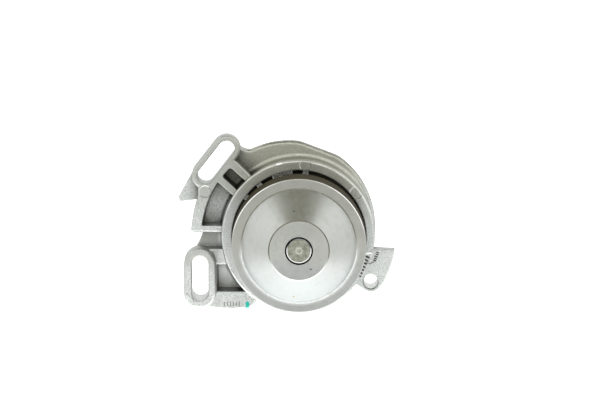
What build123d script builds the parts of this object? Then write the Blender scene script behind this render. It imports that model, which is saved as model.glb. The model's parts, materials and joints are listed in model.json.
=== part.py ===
from build123d import *
import math
import os

# Timing-belt water pump with a drum pulley.  Millimetres, +Z up.
# The origin is on the shaft axis, in the plane of the machined face that bolts to the engine.
# The pulley is on the -Y side and the impeller on the +Y side.
# A "height" is a distance in front of the machined face, so a height of 18 is y = -18.

# --- Driving dimensions ---------------------------------------------------------------------

# machined flange
FLANGE_CENTRE = (-6.0, 3.9)
FLANGE_R = 52.4
FLANGE_HEIGHT = 6.0
CAST_BACK = 1.0            # rough casting outside the machined face stands back by this much
ORING_R = 47.5             # centre line of the seal groove, about the flange centre
ORING_GROOVE_WIDTH = 4.2
ORING_GROOVE_DEPTH = 2.9

# collar round the pulley, and the boss in its middle
COLLAR_CENTRE = (-0.5, 0.0)
COLLAR_R = 46.4
COLLAR_BORE_R = 40.55
COLLAR_HEIGHT = 20.0
INNER_RIB_HEIGHT = 14.0
INNER_RIB_WIDTH = 3.3
INNER_RIB_ANGLES = (144, 128, 84, 12, -30, -66, -104, -140, 180)
PAD_ANGLES = (96, 114)     # the wide pad between two of the ribs
BOSS_BASE_R = 23.5
BOSS_NOSE_R = 19.0
BOSS_HEIGHT = 52.5

# bracket webs
WEB_HEIGHT = 18.0
POCKET_CORNER_R = 1.6
POCKET_DRAFT = 4.5
POCKET_FLARE = 0.35        # chamfer round the mouth of each pocket
HOLE_FLARE = 0.4
WEB_EDGE_R = 1.2
EAR_EDGE_R = 1.6
FIN_EDGE_R = 0.5
PIVOT_EDGE_R = 0.8
FLANGE_EDGE_R = 2.0
COLLAR_ROOT_R = 3.0        # cove between the collar and the flange
EJECTOR_DEPTH = 0.25
EJECTOR_MARKS = (          # centre, radius, height of the face it marks
    ((34.35, 26.71), 3.7, 20.0),
    ((3.85, 43.64), 3.4, 20.0),
    ((42.64, -13.17), 3.2, 20.0),
    ((-56.6, 27.2), 3.6, 18.0),
    ((-65.3, -38.8), 2.6, 24.0),
)

# adjusting slots for M10 screws
SLOT_R = 5.1
SLOT_1_ENDS = ((-43.73, 52.90), (-56.25, 36.84))
SLOT_1_EAR_R = 8.4
SLOT_1_BACK = 6.0
SLOT_2_ENDS = ((-59.75, -16.36), (-59.75, -33.74))
SLOT_2_EAR_R = 9.7
SLOT_2_HEIGHT = 24.0
SLOT_2_FOOT_R = 8.0        # the ear narrows to this where it meets the engine
SLOT_2_FOOT_HEIGHT = 10.0

# pivot ear
PIVOT_CENTRE = (43.37, -27.50)
PIVOT_HOLE_R = 4.3
PIVOT_EAR_R = 6.7
PIVOT_SECTOR_R = 58.4
PIVOT_EAR_BACK = 12.0

# shaft and double-row bearing
SHAFT_R = 7.959
SHAFT_FRONT = -74.0
SHAFT_BACK = 24.5
BEARING_R = 15.0
BEARING_FRONT = -51.4
BEARING_BACK = -12.5
BEARING_BORE_R = 12.3
BALL_R = 3.175
BALL_GROOVE_R = 3.35
BALL_COUNT = 8
BALL_Y = -22.0
ROLLER_R = 2.5
ROLLER_LENGTH = 10.0
ROLLER_COUNT = 10
ROLLER_Y = -41.5
RUNNING_GAP = 0.02
LIP_GAP = 0.03
BALL_PITCH_R = 10.275
ROLLER_PITCH_R = SHAFT_R + RUNNING_GAP + ROLLER_R
SEAL_SEAT_R = 13.3
SEAL_SEAT_DEPTH = 2.6

# pulley
PULLEY_R = 40.25
PULLEY_FRONT = -55.1
PULLEY_BACK = -32.5
PULLEY_WALL = 2.8
CONE_FOOT_R = 34.3         # where the cone would meet the flat rim without its root radius
CONE_ROOT_R = 1.2
WEB_THICKNESS = 2.8
HUB_R = 17.9
HUB_BARREL_R = 12.6
HUB_BACK = -57.0

# face seal
SEAL_BORE_R = 18.25
SEAL_CUP_WALL = 0.6
SEAL_CUP_BACK = -8.0
SEAL_FLANGE_R = 20.4
SEAL_FACE_Y = 3.4
SEAL_FLOOR = SEAL_CUP_BACK + SEAL_CUP_WALL     # inside floor of the seal cup
CARRIER_SHEET = 0.5
CARRIER_FRONT = -2.2
CARRIER_FLOOR = CARRIER_FRONT + CARRIER_SHEET
CARRIER_BACK = SEAL_FACE_Y - 1.6
CARBON_R = 13.4
CARBON_BORE_R = 9.5
SPRING_MEAN_R = 15.6
SPRING_WIRE_R = 0.55
SPRING_TURNS = 2.5
SPRING_END_GAP = 0.02
CERAMIC_LENGTH = 4.0
CERAMIC_R = 14.0
CERAMIC_BORE_R = 9.3
CERAMIC_BACK = SEAL_FACE_Y + CERAMIC_LENGTH
BOOT_WALL = 1.4

# impeller and the chamber behind the flange
CHAMBER_R = 37.0
CHAMBER_DEPTH = 2.0
IMPELLER_R = 34.0
IMPELLER_DISC_Y = (2.0, 4.6)
VANE_COUNT = 7
VANE_TIP_Y = 16.5
VANE_THICKNESS = 2.4
IMPELLER_HUB_R = 18.0
HUB_RECESS_BACK = 8.8
INSERT_R = 11.0
INSERT_BACK = 22.0
WEEP_R = 2.5


# --- Helpers --------------------------------------------------------------------------------

def slab(profile, low, high):
    """A slab of a flat profile, drawn in X and Z, between two heights."""
    return extrude(Plane.XZ.offset(low) * profile, amount=high - low, dir=(0, -1, 0))


def sunk(profile, top, depth, draft):
    """A cutter that sinks a profile from a height down by a depth, narrowing by its draft."""
    return extrude(Plane.XZ.offset(top) * profile, amount=depth, dir=(0, 1, 0), taper=draft)


def flare(profile, top, width):
    """A cutter that chamfers the mouth of a hole or pocket."""
    return sunk(offset(profile, width), top, width, 45)


def at(point, shape):
    """A flat shape moved to a point."""
    return Pos(point[0], point[1]) * shape


def polar(radius, angle):
    return (radius * math.cos(math.radians(angle)), radius * math.sin(math.radians(angle)))


def stadium(ends, radius):
    """A slot outline: two end centres and a radius."""
    start, end = Vector(*ends[0]), Vector(*ends[1])
    middle = (start + end) * 0.5
    run = end - start
    angle = math.degrees(math.atan2(run.Y, run.X))
    return Pos(middle.X, middle.Y) * Rot(0, 0, angle) * SlotCenterToCenter(run.length, 2 * radius)


def polygon(*points):
    return make_face(Polyline(*points, close=True))


def rounded_polygon(points, radius):
    face = polygon(*points)
    return fillet(face.vertices(), radius)


def turned(points, centre=(0, 0)):
    """A solid of revolution about a line along Y, from (radius, y) points."""
    return Pos(centre[0], 0, centre[1]) * revolve(polygon(*points), axis=Axis.Y)


def ring(inner, outer, front, back):
    """A plain ring about the shaft axis, between two y values."""
    return turned([(inner, front), (outer, front), (outer, back), (inner, back)])


def edges_at(shape, height):
    """The edges that lie flat at one height."""
    boxes = [(edge, edge.bounding_box()) for edge in shape.edges()]
    return [edge for edge, box in boxes
            if abs(box.min.Y + height) < 0.01 and abs(box.max.Y + height) < 0.01]


def soft_slab(profile, low, high, radius):
    """A slab with its front edges rounded."""
    solid = slab(profile, low, high)
    return fillet(edges_at(solid, high), radius)


def around(solid, count, radius):
    """Copies of a solid spaced evenly round the shaft axis."""
    step = 360 / count
    return Compound(children=[
        Rot(0, index * step, 0) * Pos(radius, 0, 0) * solid for index in range(count)
    ])


# --- Housing --------------------------------------------------------------------------------

def flange_profile():
    """The round machined flange, flattened at the top right."""
    flat = polygon((-4.7, 57.94), (29.1, 45.06), (33.0, 60.0), (0.0, 66.0))
    disc = at(FLANGE_CENTRE, Circle(FLANGE_R)) - flat
    return fillet(disc.vertices(), 18.0)


def upper_neck_profile():
    """The hollow curve from the flange up to the first slotted ear."""
    left, low, right = (-36.2, 54.0), (-30.15, 51.03), (-24.5, 53.0)
    outline = Polyline(right, (-22.0, 40.0), (-50.0, 40.0), (-42.0, 53.0), left)
    return make_face(outline + ThreePointArc(left, low, right))


def lower_neck_profile():
    """The hollow curve from the flange down to the second slotted ear."""
    top, middle, bottom = (-58.0, 3.0), (-59.6, -3.0), (-62.4, -8.4)
    outline = Polyline(bottom, (-55.0, -12.0), (-50.0, 3.0), top)
    return make_face(outline + ThreePointArc(top, middle, bottom))


def collar_profile():
    return at(COLLAR_CENTRE, Circle(COLLAR_R))


def upper_bracket_profile():
    """The web between the collar, the first slotted ear and the arm on the left."""
    arm_r = 65.3
    start, middle, end = polar(arm_r, 159), polar(arm_r, 168), polar(arm_r, 177)
    outline = Polyline(
        end, (-64.0, 2.3), (-40.0, 2.3), (-20.0, 20.0), (-24.0, 32.1), (-38.6, 46.1), (-44.0, 50.0),
        (-57.0, 38.0), (-60.8, 30.6), start
    )
    return make_face(outline + ThreePointArc(start, middle, end))


def lower_bracket_profile():
    """The web between the collar and the second slotted ear."""
    left, middle, right = (-57.0, -43.2), (-43.0, -45.05), (-29.6, -43.9)
    outline = Polyline(
        right, (-27.0, -42.2), (-25.9, -39.0), (-30.0, -30.0), (-38.0, -7.6), (-59.0, -7.6), left
    )
    return make_face(outline + ThreePointArc(left, middle, right))


def small_pocket_profile():
    corners = [(-41.3, 42.0), (-46.3, 36.4), (-33.0, 24.0), (-28.5, 30.3)]
    return rounded_polygon(corners, POCKET_CORNER_R) - collar_profile()


def arm_pocket_profile():
    """The long curved pocket inside the arm."""
    wall_r = 58.9
    start, middle, end = polar(wall_r, 146.0), polar(wall_r, 160), polar(wall_r, 173.8)
    outline = Polyline(end, (-44.0, 6.2), (-36.0, 21.5), start)
    return make_face(outline + ThreePointArc(start, middle, end)) - collar_profile()


def lower_pocket_profile():
    return polygon((-49.7, -17.2), (-49.7, -33.8), (-30.0, -33.8), (-40.0, -17.2)) - collar_profile()


def fin_profile():
    """The thin pointed web outside the first ear."""
    corners = [(-57.0, 42.0), (-62.3, 41.6), (-73.0, 22.0), (-72.3, 19.2), (-58.0, 21.4)]
    return rounded_polygon(corners, 0.9)


def pivot_ear_profile():
    """The sector-shaped ear with the pivot hole at its tip."""
    start, middle = (57.9, -7.9), polar(PIVOT_SECTOR_R, -18)
    end = polar(PIVOT_SECTOR_R, -29)
    outline = Polyline(end, PIVOT_CENTRE, (32.0, -22.0), (36.0, -7.0), start)
    sector = make_face(outline + ThreePointArc(start, middle, end))
    px, pz = PIVOT_CENTRE
    lower_web = polygon((px - 3.4, pz - 5.75), (33.4, -28.8), (30.0, -20.0), PIVOT_CENTRE)
    outer_web = polygon(PIVOT_CENTRE, end, (px + 5.9, pz - 3.2))
    return at(PIVOT_CENTRE, Circle(PIVOT_EAR_R)) + sector + lower_web + outer_web


def inner_ribs_profile():
    """Radial ribs between the bearing boss and the collar, with one wide pad."""
    inner, outer = BOSS_NOSE_R, COLLAR_BORE_R + 2
    bar = Pos((inner + outer) / 2, 0) * Rectangle(outer - inner, INNER_RIB_WIDTH)
    ribs = Sketch() + [Rot(0, 0, angle) * bar for angle in INNER_RIB_ANGLES]
    low, high = PAD_ANGLES
    outline = Polyline(polar(outer, high), polar(inner, high), polar(inner, low), polar(outer, low))
    arc = ThreePointArc(polar(outer, low), polar(outer, (low + high) / 2), polar(outer, high))
    return ribs + make_face(outline + arc)


def collar_root():
    """The cove at the foot of the collar, kept inside the flange's outline."""
    floor, top = -FLANGE_HEIGHT, -FLANGE_HEIGHT - COLLAR_ROOT_R
    buried_r, buried_y = COLLAR_R - 2, floor + 1
    foot = COLLAR_R + COLLAR_ROOT_R
    sag = COLLAR_ROOT_R * (1 - math.sqrt(0.5))
    cove = ThreePointArc((COLLAR_R, top), (COLLAR_R + sag, floor - sag), (foot, floor))
    outline = Polyline(
        (foot, floor), (foot, buried_y), (buried_r, buried_y), (buried_r, top), (COLLAR_R, top)
    )
    profile = make_face(outline + cove)
    cx, cz = COLLAR_CENTRE
    inside = at(FLANGE_CENTRE, Circle(FLANGE_R - FLANGE_EDGE_R))
    return (Pos(cx, 0, cz) * revolve(profile, axis=Axis.Y)) & slab(inside, 0, -top)


def bore_cutter():
    """Everything bored from the shaft axis: bearing seat, weep chamber and face-seal seat."""
    return turned([
        (0, -BOSS_HEIGHT - 1), (BEARING_R + 1.6, -BOSS_HEIGHT - 1), (BEARING_R, -BOSS_HEIGHT + 0.6),
        (BEARING_R, BEARING_BACK), (SEAL_SEAT_R, BEARING_BACK), (SEAL_SEAT_R, SEAL_CUP_BACK),
        (SEAL_BORE_R, SEAL_CUP_BACK), (SEAL_BORE_R, 1), (0, 1),
    ])


def make_housing():
    casting = soft_slab(flange_profile(), 0, FLANGE_HEIGHT, FLANGE_EDGE_R)
    neck = slab(upper_neck_profile(), 0, FLANGE_HEIGHT)
    neck_edge = [edge for edge in edges_at(neck, FLANGE_HEIGHT) if edge.geom_type == GeomType.CIRCLE]
    casting += fillet(neck_edge, FLANGE_EDGE_R)
    casting += slab(lower_neck_profile(), 0, FLANGE_HEIGHT)
    casting += soft_slab(fin_profile(), CAST_BACK, FLANGE_HEIGHT, FIN_EDGE_R)

    webs = soft_slab(upper_bracket_profile(), CAST_BACK, WEB_HEIGHT, WEB_EDGE_R)
    webs += soft_slab(lower_bracket_profile(), CAST_BACK, WEB_HEIGHT, WEB_EDGE_R)
    webs += soft_slab(stadium(SLOT_1_ENDS, SLOT_1_EAR_R), SLOT_1_BACK, WEB_HEIGHT, EAR_EDGE_R)
    for profile in (small_pocket_profile(), arm_pocket_profile(), lower_pocket_profile()):
        webs -= sunk(profile, WEB_HEIGHT, WEB_HEIGHT - FLANGE_HEIGHT, POCKET_DRAFT)
        webs -= flare(profile, WEB_HEIGHT, POCKET_FLARE)
    casting += webs

    foot = stadium(SLOT_2_ENDS, SLOT_2_FOOT_R)
    casting += slab(foot, 0, SLOT_2_FOOT_HEIGHT)
    ear_2 = stadium(SLOT_2_ENDS, SLOT_2_EAR_R)
    casting += soft_slab(ear_2, SLOT_2_FOOT_HEIGHT, SLOT_2_HEIGHT, EAR_EDGE_R)
    casting += soft_slab(pivot_ear_profile(), PIVOT_EAR_BACK, COLLAR_HEIGHT, PIVOT_EDGE_R)
    casting += slab(at(PIVOT_CENTRE, Circle(PIVOT_EAR_R)), 0, PIVOT_EAR_BACK)
    casting += soft_slab(collar_profile(), 0, COLLAR_HEIGHT, WEB_EDGE_R)
    casting += collar_root()

    collar_bore = Circle(COLLAR_BORE_R)
    casting -= slab(collar_bore, FLANGE_HEIGHT, COLLAR_HEIGHT + 1)
    casting -= flare(collar_bore, COLLAR_HEIGHT, HOLE_FLARE)
    casting += slab(inner_ribs_profile(), FLANGE_HEIGHT - 1, INNER_RIB_HEIGHT)
    casting += turned([(0, 0), (BOSS_BASE_R, 0), (BOSS_NOSE_R, -BOSS_HEIGHT), (0, -BOSS_HEIGHT)])

    slots = ((SLOT_1_ENDS, WEB_HEIGHT), (SLOT_2_ENDS, SLOT_2_HEIGHT))
    for ends, height in slots:
        casting -= slab(stadium(ends, SLOT_R), -1, height + 1)
        casting -= flare(stadium(ends, SLOT_R), height, HOLE_FLARE)
    pivot_hole = at(PIVOT_CENTRE, Circle(PIVOT_HOLE_R))
    casting -= slab(pivot_hole, -1, COLLAR_HEIGHT + 1)
    casting -= flare(pivot_hole, COLLAR_HEIGHT, HOLE_FLARE)
    casting -= bore_cutter()

    casting -= slab(Circle(CHAMBER_R), -1, CHAMBER_DEPTH)
    groove = Circle(ORING_R + ORING_GROOVE_WIDTH / 2) - Circle(ORING_R - ORING_GROOVE_WIDTH / 2)
    casting -= slab(at(FLANGE_CENTRE, groove), -1, ORING_GROOVE_DEPTH)
    weep_y = (BEARING_BACK + SEAL_CUP_BACK) / 2
    casting -= Pos(0, weep_y, -(BOSS_BASE_R + 4) / 2) * Cylinder(WEEP_R, BOSS_BASE_R + 4)
    for centre, radius, height in EJECTOR_MARKS:
        casting -= slab(at(centre, Circle(radius)), height - EJECTOR_DEPTH, height + 1)
    return casting


# --- Shaft bearing --------------------------------------------------------------------------

def ball_groove(bottom_r, outward):
    """The cutter for a ball groove; outward is 1 for the groove in the ring, -1 for the shaft's."""
    section = Pos(bottom_r - outward * BALL_GROOVE_R, BALL_Y) * Circle(BALL_GROOVE_R)
    return revolve(section, axis=Axis.Y)


def make_shaft():
    edge, lead_width, lead_length = 0.9, 0.5, 1.1
    lead_r, lead_front = SHAFT_R - lead_width, SHAFT_FRONT + edge
    body = turned([
        (0, SHAFT_FRONT), (lead_r - edge, SHAFT_FRONT), (lead_r, lead_front),
        (SHAFT_R, lead_front + lead_length), (SHAFT_R, SHAFT_BACK - edge),
        (SHAFT_R - edge, SHAFT_BACK), (0, SHAFT_BACK),
    ])
    ring_mark = turned([(1.35, SHAFT_FRONT), (2.1, SHAFT_FRONT), (1.75, SHAFT_FRONT + 0.15)])
    groove = ball_groove(BALL_PITCH_R - BALL_R - RUNNING_GAP, -1)
    return body - ring_mark - groove


def make_bearing_outer_ring():
    roller_race_r = ROLLER_PITCH_R + ROLLER_R + RUNNING_GAP
    edge = 0.5
    roller_zone = ROLLER_Y + ROLLER_LENGTH / 2 + 1.4
    front_seat, back_seat = BEARING_FRONT + SEAL_SEAT_DEPTH, BEARING_BACK - SEAL_SEAT_DEPTH
    body = turned([
        (SEAL_SEAT_R, BEARING_FRONT), (BEARING_R - edge, BEARING_FRONT),
        (BEARING_R, BEARING_FRONT + edge), (BEARING_R, BEARING_BACK - edge),
        (BEARING_R - edge, BEARING_BACK), (SEAL_SEAT_R, BEARING_BACK),
        (SEAL_SEAT_R, back_seat), (BEARING_BORE_R, back_seat),
        (BEARING_BORE_R, roller_zone), (roller_race_r, roller_zone),
        (roller_race_r, front_seat), (SEAL_SEAT_R, front_seat),
    ])
    return body - ball_groove(BALL_PITCH_R + BALL_R + RUNNING_GAP, 1)


def make_ball_cage():
    half_width, pocket_r = 4.3, BALL_R + 0.08
    cage = ring(9.2, 11.4, BALL_Y - half_width, BALL_Y + half_width)
    pockets = around(Rot(0, 90, 0) * Cylinder(pocket_r, 8), BALL_COUNT, BALL_PITCH_R)
    return cage - Pos(0, BALL_Y, 0) * pockets


def make_roller_cage():
    half_width, gap = 6.2, 0.1
    cage = ring(9.3, 11.8, ROLLER_Y - half_width, ROLLER_Y + half_width)
    roller_space = Rot(90, 0, 0) * Cylinder(ROLLER_R + gap, ROLLER_LENGTH + 2 * gap)
    return cage - Pos(0, ROLLER_Y, 0) * around(roller_space, ROLLER_COUNT, ROLLER_PITCH_R)


def make_balls():
    return Pos(0, BALL_Y, 0) * around(Rot(90, 0, 0) * Sphere(BALL_R), BALL_COUNT, BALL_PITCH_R)


def make_rollers():
    roller = Cylinder(ROLLER_R, ROLLER_LENGTH)
    roller = Rot(90, 0, 0) * chamfer(roller.edges().filter_by(GeomType.CIRCLE), 0.3)
    return Pos(0, ROLLER_Y, 0) * around(roller, ROLLER_COUNT, ROLLER_PITCH_R)


def make_bearing_seal(outside_y, inward):
    """A lip seal pressed into one end of the outer ring; inward is +1 or -1 along y."""
    lip_r = SHAFT_R + LIP_GAP
    depth = inward * (SEAL_SEAT_DEPTH - 0.1)
    face = outside_y + inward * 0.2
    return turned([
        (lip_r, face + 0.1 * inward), (lip_r + 1.2, face + 0.9 * inward), (lip_r + 2.4, face),
        (SEAL_SEAT_R, face), (SEAL_SEAT_R, outside_y + depth), (lip_r + 2.6, outside_y + depth),
        (lip_r + 1.4, outside_y + 0.75 * depth), (lip_r + 0.4, outside_y + depth),
        (lip_r, outside_y + 0.85 * depth),
    ])


# --- Pulley ---------------------------------------------------------------------------------

def make_pulley():
    """A turned drum with a conical web running forward to its hub."""
    edge, hub_edge = 0.5, 0.45
    mouth_width, mouth_depth = 0.4, 1.6
    rim_thickness, barrel_root = 3.0, 4.0
    inner_drum = PULLEY_R - PULLEY_WALL
    rim_back = PULLEY_FRONT + rim_thickness
    slope = math.atan2(PULLEY_FRONT - SHAFT_FRONT, CONE_FOOT_R - HUB_R)
    along_r, along_y = math.cos(slope), math.sin(slope)
    web_r, web_y = WEB_THICKNESS * along_y, WEB_THICKNESS * along_r
    hub_inside = SHAFT_FRONT + web_y

    tangent = CONE_ROOT_R * math.tan(slope / 2)
    foot = (CONE_FOOT_R + tangent, PULLEY_FRONT)
    rise = (CONE_FOOT_R - tangent * along_r, PULLEY_FRONT - tangent * along_y)
    half = slope / 2
    middle = (foot[0] - CONE_ROOT_R * math.sin(half), foot[1] - CONE_ROOT_R * (1 - math.cos(half)))
    outline = Polyline(
        foot, (PULLEY_R - edge, PULLEY_FRONT), (PULLEY_R, PULLEY_FRONT + edge),
        (PULLEY_R, PULLEY_BACK - edge), (PULLEY_R - edge, PULLEY_BACK), (inner_drum, PULLEY_BACK),
        (inner_drum, rim_back), (CONE_FOOT_R - web_r, rim_back), (HUB_R - web_r - 0.6, hub_inside + 1.6),
        (HUB_BARREL_R, hub_inside + barrel_root), (HUB_BARREL_R, HUB_BACK), (SHAFT_R, HUB_BACK),
        (SHAFT_R, SHAFT_FRONT + mouth_depth), (SHAFT_R + mouth_width, SHAFT_FRONT),
        (HUB_R - hub_edge, SHAFT_FRONT), (HUB_R + hub_edge * along_r, SHAFT_FRONT + hub_edge * along_y),
        rise
    )
    return revolve(make_face(outline + ThreePointArc(rise, middle, foot)), axis=Axis.Y)


# --- Weep slinger and face seal -------------------------------------------------------------

def make_slinger():
    """A dished ring that throws leaked drops into the weep chamber."""
    back, front = SEAL_CUP_BACK - 1.0, BEARING_BACK + 1.0
    sleeve_r, rim_r, half_rim = SHAFT_R + 1.6, 11.6, 0.4
    return turned([
        (SHAFT_R, front), (sleeve_r, front), (sleeve_r, front + 0.8), (rim_r, back - half_rim),
        (rim_r, back + half_rim), (SHAFT_R, back + half_rim),
    ])


def make_seal_cup():
    inner, hole_r = SEAL_BORE_R - SEAL_CUP_WALL, 9.6
    lip_front, lip_back = -CHAMBER_DEPTH, -CHAMBER_DEPTH + SEAL_CUP_WALL
    return turned([
        (hole_r, SEAL_CUP_BACK), (SEAL_BORE_R, SEAL_CUP_BACK), (SEAL_BORE_R, lip_front),
        (SEAL_FLANGE_R, lip_front), (SEAL_FLANGE_R, lip_back), (inner, lip_back),
        (inner, SEAL_FLOOR), (hole_r, SEAL_FLOOR),
    ])


def make_seal_bellows():
    """A rubber bellows between the cup and the carbon ring's carrier."""
    front, back = SEAL_FLOOR, CARRIER_FRONT
    bore_r, waist_r, neck_r, rim_r = 9.7, 11.2, 12.2, 13.6
    return turned([
        (bore_r, front), (rim_r, front), (rim_r, front + 0.9), (neck_r, front + 1.5),
        (neck_r, front + 2.4), (rim_r, back - 0.9), (rim_r, back), (bore_r, back),
        (bore_r, back - 0.8), (waist_r, back - 1.6), (waist_r, front + 1.5), (bore_r, front + 0.9),
    ])


def make_carbon_carrier():
    """The sheet-metal cup that holds the carbon ring and takes the spring's push."""
    hole_r, flange_r, wall_r = CARBON_BORE_R + 0.2, 17.0, CARBON_R + CARRIER_SHEET
    return turned([
        (hole_r, CARRIER_FRONT), (flange_r, CARRIER_FRONT), (flange_r, CARRIER_FLOOR),
        (wall_r, CARRIER_FLOOR), (wall_r, CARRIER_BACK), (CARBON_R, CARRIER_BACK),
        (CARBON_R, CARRIER_FLOOR), (hole_r, CARRIER_FLOOR),
    ])


def make_carbon_ring():
    """The stationary seal face, with a raised nose that rubs on the ceramic ring."""
    shoulder, nose = SEAL_FACE_Y - 0.9, SEAL_FACE_Y - RUNNING_GAP
    return turned([
        (CARBON_BORE_R, CARRIER_FLOOR), (CARBON_R, CARRIER_FLOOR), (CARBON_R, shoulder),
        (12.4, shoulder), (12.0, nose), (10.2, nose), (9.9, shoulder), (CARBON_BORE_R, shoulder),
    ])


def make_seal_spring():
    low = SEAL_FLOOR + SPRING_WIRE_R + SPRING_END_GAP
    high = CARRIER_FRONT - SPRING_WIRE_R - SPRING_END_GAP
    height = high - low
    path = Helix(pitch=height / SPRING_TURNS, height=height, radius=SPRING_MEAN_R)
    section = Plane(origin=path @ 0, z_dir=path % 0) * Circle(SPRING_WIRE_R)
    coil = sweep(section, path=path, is_frenet=True)
    return Pos(0, high, 0) * Rot(90, 0, 0) * coil


def make_ceramic_ring():
    edge = 0.4
    return turned([
        (CERAMIC_BORE_R, SEAL_FACE_Y), (CERAMIC_R - edge, SEAL_FACE_Y),
        (CERAMIC_R, SEAL_FACE_Y + edge), (CERAMIC_R, CERAMIC_BACK), (CERAMIC_BORE_R, CERAMIC_BACK),
    ])


def make_ceramic_boot():
    """The rubber cup that seats the ceramic ring in the impeller hub."""
    outer, lip = CERAMIC_R + BOOT_WALL, SEAL_FACE_Y + 0.8
    return turned([
        (CERAMIC_R, lip), (outer, lip), (outer, HUB_RECESS_BACK), (SHAFT_R, HUB_RECESS_BACK),
        (SHAFT_R, CERAMIC_BACK), (CERAMIC_R, CERAMIC_BACK),
    ])


# --- Impeller -------------------------------------------------------------------------------

def vane_profile():
    """One backward-curved vane, drawn in X and Z."""
    root_r, tip_r, sweep_angle = 12.0, IMPELLER_R, -42
    half = VANE_THICKNESS / 2

    def side(shift):
        points = [polar(root_r, 0), polar((root_r + tip_r) / 2, sweep_angle * 0.36),
                  polar(tip_r, sweep_angle)]
        return [(x + shift * 0.5, z + shift * 0.85) for x, z in points]

    left, right = side(half), side(-half)
    return make_face(
        ThreePointArc(*left) + Line(left[2], right[2]) + ThreePointArc(*reversed(right))
        + Line(right[0], left[0])
    )


def make_impeller():
    disc_front, disc_back = IMPELLER_DISC_Y
    recess_r = CERAMIC_R + BOOT_WALL
    body = turned([
        (INSERT_R, HUB_RECESS_BACK), (recess_r, HUB_RECESS_BACK), (recess_r, disc_front),
        (IMPELLER_R, disc_front), (IMPELLER_R, disc_back), (IMPELLER_HUB_R + 2.5, disc_back + 0.4),
        (IMPELLER_HUB_R, disc_back + 3), (IMPELLER_HUB_R - 0.6, HUB_RECESS_BACK + 2.2),
        (INSERT_R + 3.2, INSERT_BACK - 1.0), (INSERT_R + 2.2, INSERT_BACK), (INSERT_R, INSERT_BACK),
    ])
    vanes = Sketch() + [Rot(0, 0, index * 360 / VANE_COUNT) * vane_profile()
                        for index in range(VANE_COUNT)]
    vane_block = slab(vanes, -VANE_TIP_Y, -disc_back + 0.5)
    envelope = turned([
        (recess_r + 1.0, disc_front), (IMPELLER_R, disc_front), (IMPELLER_R, VANE_TIP_Y - 2.5),
        (IMPELLER_HUB_R + 4, VANE_TIP_Y), (INSERT_R + 1.0, VANE_TIP_Y),
        (INSERT_R + 1.0, HUB_RECESS_BACK + 1.0), (recess_r + 1.0, HUB_RECESS_BACK + 1.0),
    ])
    return body + (vane_block & envelope)


def make_impeller_insert():
    return ring(SHAFT_R, INSERT_R, HUB_RECESS_BACK, INSERT_BACK)


def make_mounting_o_ring():
    """The flange seal, drawn pressed flush into its groove as it is when bolted up."""
    width, side_r = ORING_GROOVE_WIDTH - 0.4, 1.3
    section = Pos(ORING_R, -ORING_GROOVE_DEPTH / 2) * RectangleRounded(width, ORING_GROOVE_DEPTH, side_r)
    cx, cz = FLANGE_CENTRE
    return Pos(cx, 0, cz) * revolve(section, axis=Axis.Y)


# --- Output ---------------------------------------------------------------------------------

os.makedirs("parts", exist_ok=True)
NODES = {
    "housing": make_housing(),
    "mounting_o_ring": make_mounting_o_ring(),
    "bearing_outer_ring": make_bearing_outer_ring(),
    "bearing_front_seal": make_bearing_seal(BEARING_FRONT, 1),
    "bearing_rear_seal": make_bearing_seal(BEARING_BACK, -1),
    "bearing_balls": make_balls(),
    "ball_cage": make_ball_cage(),
    "bearing_rollers": make_rollers(),
    "roller_cage": make_roller_cage(),
    "shaft": make_shaft(),
    "pulley": make_pulley(),
    "slinger": make_slinger(),
    "seal_cup": make_seal_cup(),
    "seal_spring": make_seal_spring(),
    "seal_bellows": make_seal_bellows(),
    "carbon_carrier": make_carbon_carrier(),
    "carbon_ring": make_carbon_ring(),
    "ceramic_ring": make_ceramic_ring(),
    "ceramic_ring_boot": make_ceramic_boot(),
    "impeller": make_impeller(),
    "impeller_insert": make_impeller_insert(),
}
for name, shape in NODES.items():
    export_step(shape, f"parts/{name}.step")
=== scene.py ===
import json
import math
from types import SimpleNamespace

import bpy
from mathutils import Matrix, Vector


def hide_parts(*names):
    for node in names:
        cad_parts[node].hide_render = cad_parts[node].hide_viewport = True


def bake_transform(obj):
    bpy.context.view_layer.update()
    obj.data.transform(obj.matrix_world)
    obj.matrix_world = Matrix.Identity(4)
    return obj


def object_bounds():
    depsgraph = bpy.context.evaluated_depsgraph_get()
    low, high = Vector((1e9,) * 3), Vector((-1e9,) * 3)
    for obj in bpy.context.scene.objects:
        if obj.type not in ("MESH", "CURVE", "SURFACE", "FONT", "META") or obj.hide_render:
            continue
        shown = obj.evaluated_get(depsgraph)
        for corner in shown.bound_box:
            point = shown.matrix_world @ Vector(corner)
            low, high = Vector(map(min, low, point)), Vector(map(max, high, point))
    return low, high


# Looks for the timing-belt water pump, in the frame of the CAD model: the origin is on the shaft
# axis in the plane of the machined face, the pulley is on the -Y side, +Z is up.  Objects are in
# metres.  Masks inside the materials, and the landmarks that they use, are in millimetres.

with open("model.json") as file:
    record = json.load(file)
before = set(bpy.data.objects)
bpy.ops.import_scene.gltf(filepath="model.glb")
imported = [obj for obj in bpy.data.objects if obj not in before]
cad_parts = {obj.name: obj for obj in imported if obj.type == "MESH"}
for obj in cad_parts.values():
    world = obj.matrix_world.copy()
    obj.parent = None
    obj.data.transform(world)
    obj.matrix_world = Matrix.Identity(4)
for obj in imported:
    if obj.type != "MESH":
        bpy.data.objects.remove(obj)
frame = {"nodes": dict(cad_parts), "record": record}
cad_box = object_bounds()
nodes = frame["nodes"]
scene = bpy.context.scene

MM = 0.001

# --- Landmarks, in millimetres --------------------------------------------------------------

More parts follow.
